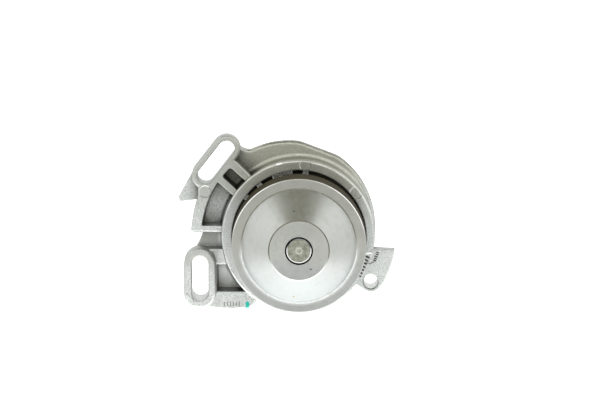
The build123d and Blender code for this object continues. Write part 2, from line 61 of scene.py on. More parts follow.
FLANGE_FRONT = -6.0
RIB_FRONT = -14.0
WEB_FRONT = -18.0
COLLAR_FRONT = -20.0
EAR_2_FRONT = -24.0
FLANGE_CENTRE = (-6.0, 3.9)
FLANGE_R = 52.4
COLLAR_CENTRE = (-0.5, 0.0)
COLLAR_R = 46.4
COLLAR_BORE_R = 40.55
BOSS_BASE_R = 23.5         # the boss in the middle of the collar
SLOT_1 = ((-43.73, 52.90), (-56.25, 36.84))                # the two ends of a hole's middle line
SLOT_2 = ((-59.75, -16.36), (-59.75, -33.74))
PIVOT = ((43.37, -27.50), (43.37, -27.49))
HOLE_ZONE = 6.5            # no pocket dirt this near to a hole's middle line
PIVOT_ZONE = 4.8           # takes in the pivot hole's wall
PIVOT_DIAGONAL = 15.9      # x + z on the slanting line across the pivot hole
EJECTOR_MARKS = (          # centre and radius of each round mark
    ((34.35, 26.71), 3.7),
    ((3.85, 43.64), 3.4),
    ((42.64, -13.17), 3.2),
    ((-56.60, 27.20), 3.6),
)
PAINT_DAB = ((-31.2, -43.6), (-31.2, -41.0), 1.1)         # start, end and half width
# start, end and half width of a highlight painted on the collar's edge
COLLAR_GLINT = ((-13.3, 44.1), (-10.8, 44.8), 0.6)
STAMP_ROW = ((-45.4, -41.5), (-34.6, -41.5), 3.0, 1.8, 0.36)
INK_ROWS = (               # start, end, height, pitch and how much of the pitch a bar fills
    ((41.1, -11.6), (35.6, -24.0), 4.2, 2.1, 0.62),
    ((47.8, -9.3), (45.7, -15.1), 2.0, 1.3, 0.62),
)
SCRATCHES = (              # start, end, half width and the face that they are on
    ((-40.9, -19.9), (-40.2, -21.2), 0.20, COLLAR_FRONT),
    ((-39.7, -21.5), (-39.4, -22.3), 0.20, COLLAR_FRONT),
    ((-68.1, -34.0), (-66.4, -35.6), 0.22, EAR_2_FRONT),
    ((-66.4, -35.6), (-64.1, -37.2), 0.22, EAR_2_FRONT),
    ((-64.1, -37.2), (-63.6, -39.3), 0.22, EAR_2_FRONT),
)

RIM_FRONT = -55.1
RIM_EDGE_R = 39.6          # where the highlight painted on the rim's outer edge begins
DRUM_SIDE_R = 39.9
CONE_FOOT_R = 34.3
HUB_R = 17.9
HUB_MOUTH_R = 8.30         # the gap between the hub and the shaft, painted black as shade
OCHRE_SPOT = ((-3.3, -29.7), (-3.1, -29.7), 0.5)
DARK_SPOTS = (
    ((6.7, -11.0), (7.4, -10.9), 0.4),
    ((-3.3, 22.9), (-2.9, 22.9), 0.3),
)

SHAFT_FRONT_ZONE = (-70.0, -72.0)                          # the front end's marks fade in here
SHAFT_CHAMFER_R = 6.87     # outside this radius the shaft's end is chamfer
SHAFT_LEAD_IN_R = 7.54     # and outside this one it is the step next to the hub, painted black as shade

# --- Shader helpers -------------------------------------------------------------------------

class Shader:
    """A node tree being built: short calls that add a node, set it up and wire it."""

    def __init__(self, name):
        self.material = bpy.data.materials.new(name)
        self.material.use_nodes = True
        self.tree = self.material.node_tree
        self.tree.nodes.clear()
        self.output = self.add("ShaderNodeOutputMaterial")
        self.surface = self.add("ShaderNodeBsdfPrincipled")
        self.link(self.surface.outputs["BSDF"], self.output.inputs["Surface"])

    def add(self, kind, **settings):
        node = self.tree.nodes.new(kind)
        for key, value in settings.items():
            setattr(node, key, value)
        return node

    def link(self, source, target):
        self.tree.links.new(source, target)

    def feed(self, target, value):
        """Wires a socket, or sets its value when it isn't one."""
        if isinstance(value, bpy.types.NodeSocket):
            self.link(value, target)
        else:
            target.default_value = value

    def place(self):
        """Position on the piece, in metres, in the piece's own frame."""
        return self.add("ShaderNodeTexCoord").outputs["Object"]

    def place_mm(self):
        """The same position in millimetres, split into x, y and z."""
        return [self.math("MULTIPLY", axis, 1000.0) for axis in self.split(self.place())]

    def only_along(self, first, second=0.0):
        """A place that changes only with the given coordinates, for rings and turning lines."""
        node = self.add("ShaderNodeCombineXYZ")
        self.feed(node.inputs[0], first)
        self.feed(node.inputs[1], second)
        return node.outputs[0]

    def split(self, vector):
        node = self.add("ShaderNodeSeparateXYZ")
        self.link(vector, node.inputs[0])
        return node.outputs

    def math(self, operation, first, second=0.0, third=0.0):
        node = self.add("ShaderNodeMath", operation=operation)
        for socket, value in zip(node.inputs, (first, second, third)):
            self.feed(socket, value)
        return node.outputs[0]

    def noise(self, scale, detail=2.0, roughness=0.5, vector=None, distortion=0.0):
        """A cloudy value about 0.5; the scale is in waves for each unit of the vector."""
        node = self.add("ShaderNodeTexNoise")
        node.inputs["Scale"].default_value = scale
        node.inputs["Detail"].default_value = detail
        node.inputs["Roughness"].default_value = roughness
        node.inputs["Distortion"].default_value = distortion
        self.link(vector or self.place(), node.inputs["Vector"])
        return node.outputs["Fac"]

    def voronoi(self, scale):
        """Distance to the nearest of the points scattered through the piece."""
        node = self.add("ShaderNodeTexVoronoi", feature="F1")
        node.inputs["Scale"].default_value = scale
        self.link(self.place(), node.inputs["Vector"])
        return node.outputs["Distance"]

    def ramp(self, value, low, high, out_low=0.0, out_high=1.0):
        """A smooth remap of a value from one range to another."""
        node = self.add("ShaderNodeMapRange", interpolation_type="SMOOTHSTEP")
        for socket, number in zip(node.inputs, (value, low, high, out_low, out_high)):
            self.feed(socket, number)
        return node.outputs[0]

    def mix(self, factor, first, second):
        node = self.add("ShaderNodeMix", data_type="RGBA")
        self.feed(node.inputs["Factor"], factor)
        self.feed(node.inputs["A"], first)
        self.feed(node.inputs["B"], second)
        return node.outputs["Result"]

    def coat(self, base, tint, mask, strength=1.0):
        """Lays a tint over a base colour where the mask is 1."""
        return self.mix(self.math("MULTIPLY", mask, strength), base, colour(*tint))

    def either(self, *masks):
        result = masks[0]
        for mask in masks[1:]:
            result = self.math("MAXIMUM", result, mask)
        return result

    def opposite(self, mask):
        return self.math("SUBTRACT", 1.0, mask)

    def within(self, value, low, high, soft):
        """1 from low to high, fading to 0 over soft on either side."""
        return self.product(self.ramp(value, low - soft, low), self.ramp(value, high + soft, high))

    def near(self, value, target, outer, inner):
        """1 up to inner from a target value, 0 beyond outer."""
        return self.ramp(self.math("ABSOLUTE", self.math("SUBTRACT", value, target)), outer, inner)

    def bump(self, height, distance, strength, normal=None):
        """Surface directions bent by a height; the distance is in metres."""
        node = self.add("ShaderNodeBump")
        node.inputs["Strength"].default_value = strength
        node.inputs["Distance"].default_value = distance
        self.link(height, node.inputs["Height"])
        if normal is not None:
            self.link(normal, node.inputs["Normal"])
        return node.outputs["Normal"]

    def shelter(self, distance):
        """1 on an open surface, falling towards 0 in a corner or pocket; the distance is in mm."""
        node = self.add("ShaderNodeAmbientOcclusion", samples=12, only_local=True)
        node.inputs["Distance"].default_value = distance * MM
        return node.outputs["AO"]

    def product(self, *values):
        result = values[0]
        for value in values[1:]:
            result = self.math("MULTIPLY", result, value)
        return result

    def facing(self):
        """The surface's own direction, split into x, y and z."""
        return self.split(self.add("ShaderNodeTexCoord").outputs["Normal"])

    def reach(self, first, second, centre=(0.0, 0.0)):
        """Distance from a centre, on two coordinates."""
        across = self.math("SUBTRACT", first, centre[0])
        up = self.math("SUBTRACT", second, centre[1])
        return self.math("SQRT", self.math("ADD", self.product(across, across), self.product(up, up)))

    def along_line(self, first, second, start, end):
        """How far along the line from start to end, how far off it, and the line's length."""
        span = (end[0] - start[0], end[1] - start[1])
        length = math.hypot(*span)
        along = (span[0] / length, span[1] / length)
        run_offset = -(start[0] * along[0] + start[1] * along[1])
        run = self.math("ADD", self.math("MULTIPLY", first, along[0]),
                        self.math("MULTIPLY_ADD", second, along[1], run_offset))
        off_offset = start[0] * along[1] - start[1] * along[0]
        off = self.math("ADD", self.math("MULTIPLY", first, -along[1]),
                        self.math("MULTIPLY_ADD", second, along[0], off_offset))
        return run, off, length

    def capsule(self, first, second, start, end, half_width):
        """1 within half_width of the straight line from start to end, on two coordinates."""
        run, off, length = self.along_line(first, second, start, end)
        past_end = self.math("SUBTRACT", run, length)
        before_start = self.math("MULTIPLY", run, -1.0)
        beyond = self.either(past_end, before_start, 0.0)
        return self.ramp(self.reach(beyond, off), half_width * 1.15, half_width * 0.85)

    def ticks(self, first, second, start, end, height, pitch, filled):
        """A row of plain bars from start to end, each standing across the row."""
        run, off, length = self.along_line(first, second, start, end)
        end_soft, side_soft, bar_soft = 0.1, 0.2, 0.08
        in_row = self.product(self.ramp(run, -end_soft, end_soft), self.ramp(run, length, length - end_soft))
        in_height = self.ramp(self.math("ABSOLUTE", off), height / 2, height / 2 - side_soft)
        phase = self.math("FRACT", self.math("DIVIDE", run, pitch))
        return self.product(in_row, in_height, self.ramp(phase, filled, filled - bar_soft))

    def round_mark(self, first, second, centre, radius):
        """The thin rim of a round mark, and which side of it is lit: 1 up and left, 0 down and right."""
        rim = self.near(self.reach(first, second, centre), radius, 0.4, 0.1)
        diagonal = self.math("SUBTRACT", second, first)
        diagonal = self.math("SUBTRACT", diagonal, centre[1] - centre[0])
        return rim, self.ramp(diagonal, -0.2 * radius, 0.4 * radius)

    def rounded(self, radius, samples=6):
        """Surface directions as if every edge had a small radius, in mm."""
        node = self.add("ShaderNodeBevel", samples=samples)
        node.inputs["Radius"].default_value = radius * MM
        return node.outputs["Normal"]

    def set(self, **inputs):
        for key, value in inputs.items():
            self.feed(self.surface.inputs[key.replace("_", " ")], value)


def colour(red, green, blue):
    return (red, green, blue, 1.0)


# --- The casting ----------------------------------------------------------------------------

def on_casting(s):
    """Everything that the casting's masks are made from, with lengths in millimetres."""
    x, y, z = s.place_mm()
    facing_x, facing_y, facing_z = s.facing()
    holes = s.either(*[s.capsule(x, z, *ends, HOLE_ZONE) for ends in (SLOT_1, SLOT_2, PIVOT)])
    return SimpleNamespace(
        x=x, y=y, z=z, facing_x=facing_x, facing_y=facing_y, facing_z=facing_z,
        radius=s.reach(x, z),
        from_flange=s.reach(x, z, FLANGE_CENTRE),
        from_collar=s.reach(x, z, COLLAR_CENTRE),
        steep=s.ramp(s.math("ABSOLUTE", facing_y), 0.70, 0.40),
        away_from_holes=s.opposite(holes),
        grain=s.noise(1300, 3, 0.65),
        patches=s.noise(38, 4, 0.55),
        corner=s.shelter(5.0),
        pocket=s.shelter(12.0),
    )


def in_front(s, at, front, outer, inner):
    """1 up to inner behind a front plane and anywhere before it, 0 more than outer behind it."""
    return s.ramp(at.y, front + outer, front + inner)


def as_cast(s, at):
    """Blasted aluminium: patchy grey with light and dark grains and a few pores."""
    base = s.mix(s.ramp(at.patches, 0.3, 0.7), colour(0.53, 0.555, 0.54), colour(0.62, 0.65, 0.63))
    base = s.coat(base, (0.88, 0.90, 0.87), s.ramp(at.grain, 0.50, 0.68), 0.50)
    base = s.coat(base, (0.25, 0.255, 0.235), s.ramp(at.grain, 0.50, 0.32), 0.55)
    pores = s.ramp(s.noise(800, 1, 0.4), 0.25, 0.20)
    return s.coat(base, (0.12, 0.12, 0.10), pores, 0.6)


def shade_and_tones(s, at, base):
    """Painted shade on faces turned sideways or back, greyer ears, and a darker yellowish tone painted over
    the upper part as shade.
    """
    # painted shade: faces turned sideways or back are darkened
    sideways = s.ramp(s.math("ABSOLUTE", at.facing_x), 0.45, 0.85)
    backwards = s.ramp(at.facing_y, 0.3, 0.8)
    base = s.coat(base, (0.34, 0.345, 0.325), s.either(sideways, backwards), 0.62)
    ear_1_face = s.product(s.ramp(at.z, 10, 34), s.ramp(at.x, -26, -40), s.ramp(at.y, -10, -14))
    ear_2_top = s.product(s.ramp(at.z, -24, -12), s.ramp(at.z, 4, 0), s.ramp(at.x, -46, -50), 0.7)
    base = s.coat(base, (0.40, 0.41, 0.375), s.either(ear_1_face, ear_2_top), 0.72)
    # painted shade: the upper part gets a darker, yellowish tone in patches
    upper_shade = s.product(s.ramp(at.z, 4, 34), s.ramp(at.x, -46, -26), s.ramp(at.x, 44, 30, 0.4, 1.0),
                     s.ramp(at.patches, 0.25, 0.6, 0.75, 1.0))
    return s.coat(base, (0.34, 0.325, 0.225), upper_shade, 0.55)


def pocket_light_and_shade(s, at, base):
    """Painted light on the pocket floors low down, painted shade in corners, pockets and inside the collar,
    one dark edge.
    """
    lower = s.ramp(at.z, 4, -8)
    # painted light: the floors of pockets low down are lightened
    floor_painted_light = s.product(lower, s.ramp(at.pocket, 0.85, 0.45))
    base = s.coat(base, (0.92, 0.94, 0.92), floor_painted_light, 0.8)
    # painted shade: corners darken to brown-black, broken by the grain, less so low down
    corner_shade = s.ramp(s.math("MULTIPLY_ADD", at.grain, 0.30, at.corner), 0.95, 0.50)
    corner_shade_strength = s.math("MULTIPLY_ADD", lower, -0.27, 0.72)
    base = s.coat(base, (0.115, 0.107, 0.072), corner_shade, corner_shade_strength)
    # painted shade: deep pockets, steep pocket walls and the well inside the collar go near black
    pockets = s.product(s.ramp(at.pocket, 0.76, 0.42), at.away_from_holes, s.ramp(at.z, 12, 34, 0.10, 0.58))
    pocket_wall_shade = s.product(at.steep, s.ramp(at.pocket, 0.80, 0.50), at.away_from_holes,
                             s.ramp(at.y, FLANGE_FRONT - 0.2, FLANGE_FRONT - 1.5), 0.85)
    collar_well_shade = s.product(s.ramp(at.radius, COLLAR_BORE_R + 0.25, COLLAR_BORE_R - 0.15),
                              s.ramp(at.radius, BOSS_BASE_R - 1.0, BOSS_BASE_R + 1.0),
                              s.ramp(at.y, COLLAR_FRONT, COLLAR_FRONT + 0.4), s.ramp(at.y, -4.0, -5.5))
    base = s.coat(base, (0.035, 0.033, 0.022), s.either(pockets, pocket_wall_shade, collar_well_shade), 0.92)
    flange_edge = s.product(s.ramp(at.from_flange, FLANGE_R - 2.4, FLANGE_R - 1.6),
                            s.ramp(at.facing_z, 0.35, 0.6), s.ramp(at.x, -24, -20), s.ramp(at.z, 10, 16),
                            s.ramp(at.y, FLANGE_FRONT - 0.2, FLANGE_FRONT + 0.4),
                            s.ramp(at.y, -1.0, -1.8))
    ragged = s.ramp(s.noise(1500, 3, 0.7), 0.60, 0.42)
    return s.coat(base, (0.07, 0.067, 0.052), s.product(flange_edge, ragged), 0.75)


def machined_and_highlights(s, at, base):
    """Lathe rings on the mating face and rib ends, painted light on the left rib ends, and a painted
    highlight round the collar's edge.
    """
    mating_face = s.product(s.ramp(at.y, -0.15, -0.02), s.ramp(at.y, 0.4, 0.2))
    machined_and_lit_rib_ends = s.product(s.within(at.y, RIB_FRONT - 0.1, RIB_FRONT + 0.1, 0.3),
                         s.ramp(at.radius, COLLAR_BORE_R + 0.25, COLLAR_BORE_R - 0.05),
                         s.ramp(at.x, 8.5, 6.0))
    cut = s.either(mating_face, machined_and_lit_rib_ends)
    rings = s.noise(3.2, 2, 0.6, s.only_along(at.from_flange))
    turned = s.mix(s.ramp(rings, 0.35, 0.65), colour(0.52, 0.53, 0.52), colour(0.62, 0.63, 0.62))
    base = s.mix(cut, base, turned)
    # painted light: the machined rib ends on the left are painted near white in patches, as lit
    base = s.coat(base, (0.97, 0.98, 0.96), s.product(machined_and_lit_rib_ends, s.ramp(at.grain, 0.40, 0.55)))
    # painted highlight along the upper part of the collar's outer front edge
    collar_edge_highlight = s.product(s.ramp(at.from_collar, COLLAR_R - 1.0, COLLAR_R - 0.6),
                            s.ramp(at.from_collar, COLLAR_R + 0.2, COLLAR_R - 0.1),
                            in_front(s, at, COLLAR_FRONT, 1.4, 0.9), s.ramp(at.z, 4, 20),
                            s.ramp(at.patches, 0.30, 0.55, 0.35, 1.0))
    return s.coat(base, (0.96, 0.97, 0.94), collar_edge_highlight, 0.45), cut


def painted(s, at, base):
    """A green dab and rows of plain bars, stamped and inked.  Also returns what covers the metal."""
    dab = s.product(s.capsule(at.x, at.z, *PAINT_DAB), in_front(s, at, WEB_FRONT, 1.0, 0.6))
    base = s.coat(base, (0.0, 0.42, 0.33), dab)
    stamp = s.product(s.ticks(at.x, at.z, *STAMP_ROW), in_front(s, at, WEB_FRONT, 1.0, 0.6))
    base = s.coat(base, (0.14, 0.14, 0.13), stamp, 0.8)
    ink = s.either(*[s.ticks(at.x, at.z, *row) for row in INK_ROWS])
    ink = s.product(ink, s.within(at.y, COLLAR_FRONT - 0.2, COLLAR_FRONT + 0.2, 0.4))
    base = s.coat(base, (0.015, 0.015, 0.015), ink)
    return base, s.either(dab, ink)


def marked(s, at, base):
    """Ejector marks with painted highlight and shade on their rims, painted light on the pivot hole's wall
    and painted shade at its lower front edge, scratches, and a highlight painted on the collar's edge.
    """
    scratch_dark_and_shade = (0.10, 0.10, 0.09)
    for centre, radius in EJECTOR_MARKS:
        # painted highlight on each mark's upper left rim, painted shade on its lower right rim
        rim, lit = s.round_mark(at.x, at.z, centre, radius)
        rim = s.product(rim, s.ramp(at.facing_y, -0.8, -0.95))
        base = s.coat(base, (0.95, 0.97, 0.95), s.product(rim, lit), 0.7)
        base = s.coat(base, scratch_dark_and_shade, s.product(rim, s.opposite(lit)), 0.6)
    in_pivot = s.capsule(at.x, at.z, *PIVOT, PIVOT_ZONE)
    # painted light on the pivot hole's steep wall
    base = s.coat(base, (0.93, 0.94, 0.93), s.product(in_pivot, at.steep), 0.6)
    # painted shade: a dark crescent along the hole's lower front edge
    past_pivot = s.math("SUBTRACT", s.math("ADD", at.z, at.x), PIVOT_DIAGONAL)
    lip_shade = s.product(s.ramp(past_pivot, 2.0, -3.0), in_pivot, in_front(s, at, COLLAR_FRONT, 1.2, 0.8))
    base = s.coat(base, (0.06, 0.06, 0.05), lip_shade, 0.8)
    for start, end, half_width, front in SCRATCHES:
        line = s.capsule(at.x, at.z, start, end, half_width)
        broken = s.ramp(at.grain, 0.34, 0.46)
        base = s.coat(base, scratch_dark_and_shade, s.product(line, broken, in_front(s, at, front, 1.2, 0.4)), 0.8)
    # painted highlight: a bright spot on the collar's front edge
    collar_glint = s.product(s.capsule(at.x, at.z, *COLLAR_GLINT), in_front(s, at, COLLAR_FRONT, 1.4, 0.9))
    return s.coat(base, (1.0, 1.0, 0.98), collar_glint)


def cast_aluminium():
    """Shot-blasted die casting: grey, visibly grainy, with brown-black painted shade in its corners and
    pockets.
    """
    s = Shader("cast_aluminium")
    at = on_casting(s)
    base = pocket_light_and_shade(s, at, shade_and_tones(s, at, as_cast(s, at)))
    base, cut = machined_and_highlights(s, at, base)
    base, covered = painted(s, at, base)
    base = marked(s, at, base)
    flow = s.noise(120, 3, 0.6, distortion=0.8)
    rough = s.math("SUBTRACT", s.ramp(flow, 0.3, 0.7, 0.40, 0.50), s.math("MULTIPLY", cut, 0.15))
    fine = s.noise(3200, 2, 0.6)
    height = s.math("ADD", s.math("MULTIPLY", at.grain, 0.7), s.math("MULTIPLY", fine, 0.3))
    blasted = s.bump(height, 0.00022, 0.55, s.rounded(0.6))
    s.set(Base_Color=base, Metallic=s.math("MULTIPLY", s.opposite(covered), 0.9), Roughness=rough,
          Normal=s.bump(flow, 0.0004, 0.15, blasted))
    return s.material


# --- The turning parts ----------------------------------------------------------------------

def pulley_face(s, x, z, radius, bands, mottle):
    """The rim, cone and hub: smudged satin steel; painted shade lines at the cone's ends, painted shade and
    glow at its foot, a paler lower half painted as light, a rim painted darker on top and a painted
    highlight on its upper edge.
    """
    steel = s.mix(s.ramp(bands, 0.3, 0.7), colour(0.485, 0.50, 0.47), colour(0.497, 0.512, 0.482))
    steel = s.coat(steel, (0.495, 0.48, 0.45), s.ramp(s.noise(60, 4, 0.6), 0.42, 0.72), 0.45)
    steel = s.coat(steel, (0.60, 0.61, 0.59), s.ramp(mottle, 0.35, 0.7), 0.18)
    steel = s.coat(steel, (0.20, 0.19, 0.16), s.ramp(s.voronoi(150), 0.055, 0.035), 0.55)
    # painted shade: thin dark lines at the hub's edge and the cone's foot, on the upper half only
    hub_shade_line = s.product(s.near(radius, HUB_R, 0.50, 0.20), s.ramp(z, -10, -2))
    root_shade_line = s.product(s.near(radius, CONE_FOOT_R, 0.55, 0.20), s.ramp(z, -6, 10, 0.0, 0.85))
    steel = s.coat(steel, (0.12, 0.11, 0.08), s.either(hub_shade_line, root_shade_line))
    underside = s.ramp(z, 2, -8)
    from_foot = s.math("SUBTRACT", radius, CONE_FOOT_R)
    # painted shade: a darker band about the cone's foot on the lower half
    foot_shade = s.product(s.ramp(from_foot, -1.7, -0.7), s.ramp(from_foot, 1.0, 0.3), underside)
    steel = s.coat(steel, (0.30, 0.31, 0.30), foot_shade, 0.35)
    # painted light: the lower half is made paler and bluish
    steel = s.coat(steel, (0.470, 0.502, 0.503), s.ramp(z, 0, -20), 0.7)
    # a darker tone for the rim, stronger towards the top as painted shade
    rim_tone_and_shade = s.product(s.ramp(from_foot, 0.2, 0.7), s.ramp(z, -30, 20, 0.2, 0.9))
    steel = s.coat(steel, (0.425, 0.43, 0.395), rim_tone_and_shade)
    # painted reflection: a pale glow beside the cone's foot on the lower half
    foot_glow = s.product(s.ramp(from_foot, 0.0, 0.5), s.ramp(from_foot, 2.5, 0.5), underside)
    steel = s.coat(steel, (0.72, 0.74, 0.73), foot_glow, 0.9)
    # painted highlight along the rim's upper outer edge
    rim_edge_highlight = s.product(s.ramp(radius, RIM_EDGE_R, RIM_EDGE_R + 0.2), s.ramp(z, 4, 16))
    steel = s.coat(steel, (0.97, 0.98, 0.96), rim_edge_highlight)
    return steel, foot_shade


def turned_steel():
    """The pulley: a satin, faintly mottled rim and cone, and a browned drum side."""
    s = Shader("turned_steel")
    x, y, z = s.place_mm()
    radius = s.reach(x, z)
    turning = s.only_along(s.math("ADD", radius, s.math("MULTIPLY", y, 0.7)))
    lines = s.noise(11, 2, 0.6, turning)
    bands = s.noise(0.42, 2, 0.5, turning)
    cloth = s.noise(230, 4, 0.65, distortion=0.6)
    mottle = s.noise(900, 3, 0.6)
    steel, foot_shade = pulley_face(s, x, z, radius, bands, mottle)
    # painted shade: the hub's mouth next to the shaft is painted black
    mouth_shade = s.product(s.ramp(radius, HUB_MOUTH_R + 0.08, HUB_MOUTH_R), s.ramp(y, -70.0, -70.5))
    steel = s.coat(steel, (0.004, 0.004, 0.004), mouth_shade)
    steel = s.coat(steel, (0.40, 0.41, 0.385), s.ramp(cloth, 0.45, 0.70), 0.30)
    steel = s.coat(steel, (0.42, 0.32, 0.08), s.capsule(x, z, *OCHRE_SPOT), 0.8)
    for spot in DARK_SPOTS:
        steel = s.coat(steel, (0.06, 0.06, 0.05), s.capsule(x, z, *spot), 0.8)
    side = s.product(s.ramp(radius, DRUM_SIDE_R - 0.5, DRUM_SIDE_R),
                     s.ramp(y, RIM_FRONT + 0.3, RIM_FRONT + 0.6))
    brown = s.mix(s.ramp(bands, 0.35, 0.65), colour(0.034, 0.028, 0.012), colour(0.054, 0.046, 0.023))
    rough = s.math("ADD", s.ramp(mottle, 0.3, 0.7, 0.27, 0.34), s.ramp(lines, 0.3, 0.7, 0.0, 0.04))
    rough = s.math("ADD", rough, s.ramp(cloth, 0.35, 0.65, 0.0, 0.07))
    rough = s.math("ADD", rough, s.math("MULTIPLY", side, 0.35))
    rough = s.math("ADD", rough, s.math("MULTIPLY", foot_shade, 0.30))
    s.set(Base_Color=s.mix(side, steel, brown), Metallic=s.opposite(side), Roughness=rough,
          Anisotropic=0.3, Specular_IOR_Level=0.08,
          Normal=s.bump(lines, 0.000006, 0.1, s.bump(mottle, 0.00004, 0.3)))
    tangent = s.add("ShaderNodeTangent", direction_type="RADIAL", axis="Y")
    s.link(tangent.outputs[0], s.surface.inputs["Tangent"])
    return s.material


def ground_steel():
    """The shaft: ground outside, with dull, smudged ends, a ring mark, a pale chamfer in front painted lit
    on its lower half, and the step by the hub painted black as shade.
    """
    s = Shader("ground_steel")
    x, y, z = s.place_mm()
    radius = s.reach(x, z)
    rings = s.noise(6, 2, 0.6, s.only_along(radius, s.math("MULTIPLY", y, 0.4)))
    smudge = s.noise(420, 3, 0.6)
    base = s.mix(s.ramp(smudge, 0.30, 0.62), colour(0.24, 0.245, 0.19), colour(0.40, 0.415, 0.35))
    ring_mark = s.product(s.ramp(radius, 1.2, 1.5), s.ramp(radius, 2.2, 1.9))
    base = s.coat(base, (0.47, 0.485, 0.42), ring_mark, 0.8)
    chamfer = s.ramp(radius, SHAFT_CHAMFER_R - 0.15, SHAFT_CHAMFER_R)
    near_front = s.ramp(y, *SHAFT_FRONT_ZONE)
    # painted light: the chamfer's lower half is painted near white and made non-metal
    lit_chamfer = s.product(chamfer, near_front, s.ramp(z, 3.5, 0.0))
    lead_in_shade = s.product(s.ramp(radius, SHAFT_LEAD_IN_R - 0.1, SHAFT_LEAD_IN_R), near_front)
    base = s.coat(base, (0.72, 0.73, 0.71), chamfer)
    base = s.coat(base, (0.97, 0.98, 0.96), lit_chamfer)
    # painted shade: the step next to the hub is painted black
    base = s.coat(base, (0.004, 0.004, 0.004), lead_in_shade)
    middle = s.ramp(radius, 2.5, 2.3)
    rough = s.math("ADD", s.ramp(rings, 0.3, 0.7, 0.30, 0.40), s.math("MULTIPLY", middle, 0.30))
    s.set(Base_Color=base, Metallic=s.opposite(lit_chamfer), Roughness=rough,
          Normal=s.bump(rings, 0.00002, 0.3))
    return s.material


# --- The plainer finishes -------------------------------------------------------------------

def polished_metal(name, tint, roughness):
    """A plain metal finish with faint scratches and a slightly uneven polish."""
    s = Shader(name)
    scratch = s.noise(900, 4, 0.7, distortion=1.5)
    cloud = s.noise(75, 2, 0.5)
    dark = tuple(c * 0.82 for c in tint)
    base = s.mix(s.ramp(cloud, 0.3, 0.7), colour(*dark), colour(*tint))
    s.set(Base_Color=base, Metallic=1.0, Normal=s.bump(scratch, 0.00002, 0.3),
          Roughness=s.ramp(scratch, 0.3, 0.7, roughness * 0.8, roughness * 1.3))
    return s.material


def moulded(name, tint, roughness, grain=2200, depth=0.00005):
    """A moulded material: an even tint, a light cloudiness and a fine surface grain."""
    s = Shader(name)
    fine = s.noise(grain, 3, 0.6)
    cloud = s.noise(90, 3, 0.5)
    light = tuple(min(1.0, c * 1.35 + 0.008) for c in tint)
    base = s.mix(s.ramp(cloud, 0.35, 0.7), colour(*tint), colour(*light))
    s.set(Base_Color=base, Roughness=s.ramp(fine, 0.3, 0.7, roughness * 0.85, roughness * 1.15),
          Normal=s.bump(fine, depth, 0.4, s.rounded(0.2, 4)))
    return s.material


FINISHES = {
    "cast_aluminium": cast_aluminium(),
    "turned_steel": turned_steel(),
    "ground_steel": ground_steel(),
    "bearing_steel": polished_metal("bearing_steel", (0.60, 0.61, 0.62), 0.28),
    "polished_steel": polished_metal("polished_steel", (0.80, 0.81, 0.82), 0.10),
    "zinc_steel": polished_metal("zinc_steel", (0.62, 0.64, 0.63), 0.35),
    "spring_steel": polished_metal("spring_steel", (0.50, 0.50, 0.49), 0.35),
    "brass_sheet": polished_metal("brass_sheet", (0.78, 0.60, 0.30), 0.30),
    "machined_brass": polished_metal("machined_brass", (0.74, 0.57, 0.28), 0.25),
    "sealing_rubber": moulded("sealing_rubber", (0.025, 0.025, 0.026), 0.62),
    "bearing_seal_rubber": moulded("bearing_seal_rubber", (0.04, 0.04, 0.045), 0.55),
    "cage_nylon": moulded("cage_nylon", (0.66, 0.58, 0.40), 0.45),
    "carbon_graphite": moulded("carbon_graphite", (0.05, 0.05, 0.055), 0.35, 4000, 0.00002),
    "white_ceramic": moulded("white_ceramic", (0.84, 0.82, 0.76), 0.18, 3000, 0.00001),
    "impeller_plastic": moulded("impeller_plastic", (0.03, 0.03, 0.032), 0.50, 1500, 0.00008),
}

for part in frame["record"]["subparts"]:
    for mesh_slot in nodes[part["node"]].material_slots:
        mesh_slot.material = FINISHES[part["material_slot"]]


# --- Soft parts of the face seal ------------------------------------------------------------

BELLOWS_STEPS = 96
BELLOWS_OUTLINE = (        # radius and place along the shaft: outside from front to back, then inside
    (13.6, -7.4), (13.6, -6.6), (13.1, -6.1), (12.3, -5.7), (12.1, -5.2), (12.3, -4.7), (12.9, -4.1),
    (13.5, -3.5), (13.6, -3.0), (13.6, -2.2), (9.7, -2.2), (9.7, -3.0), (10.3, -3.5), (11.0, -4.0),
    (11.2, -5.0), (11.0, -5.8), (10.3, -6.2), (9.7, -6.6), (9.7, -7.4),
)


def follow_seal_face(piece, node):
    """Bakes the piece's placement into its mesh and hides the CAD node that it replaces."""
    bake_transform(piece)
    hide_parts(node)


def make_bellows():
    """A rubber sleeve with one wave, turned about the shaft axis."""
    mesh = bpy.data.meshes.new("rubber_bellows")
    points, faces = [], []
    count = len(BELLOWS_OUTLINE)
    for step in range(BELLOWS_STEPS):
        angle = 2 * math.pi * step / BELLOWS_STEPS
        for radius, y in BELLOWS_OUTLINE:
            points.append((radius * MM * math.cos(angle), y * MM, radius * MM * math.sin(angle)))
        following = (step + 1) % BELLOWS_STEPS
        for i in range(count):
            j = (i + 1) % count
            here, there = step * count, following * count
            faces.append((here + i, here + j, there + j, there + i))
    mesh.from_pydata(points, [], faces)
    mesh.materials.append(FINISHES["sealing_rubber"])
    mesh.polygons.foreach_set("use_smooth", [True] * len(faces))
    mesh.update()
    piece = bpy.data.objects.new("rubber_bellows", mesh)
    scene.collection.objects.link(piece)
    follow_seal_face(piece, "seal_bellows")


def make_coil_spring():
    mesh = nodes["seal_spring"].data.copy()
    piece = bpy.data.objects.new("coil_spring", mesh)
    scene.collection.objects.link(piece)
    follow_seal_face(piece, "seal_spring")


make_bellows()
make_coil_spring()


# --- Floor, light and camera ----------------------------------------------------------------

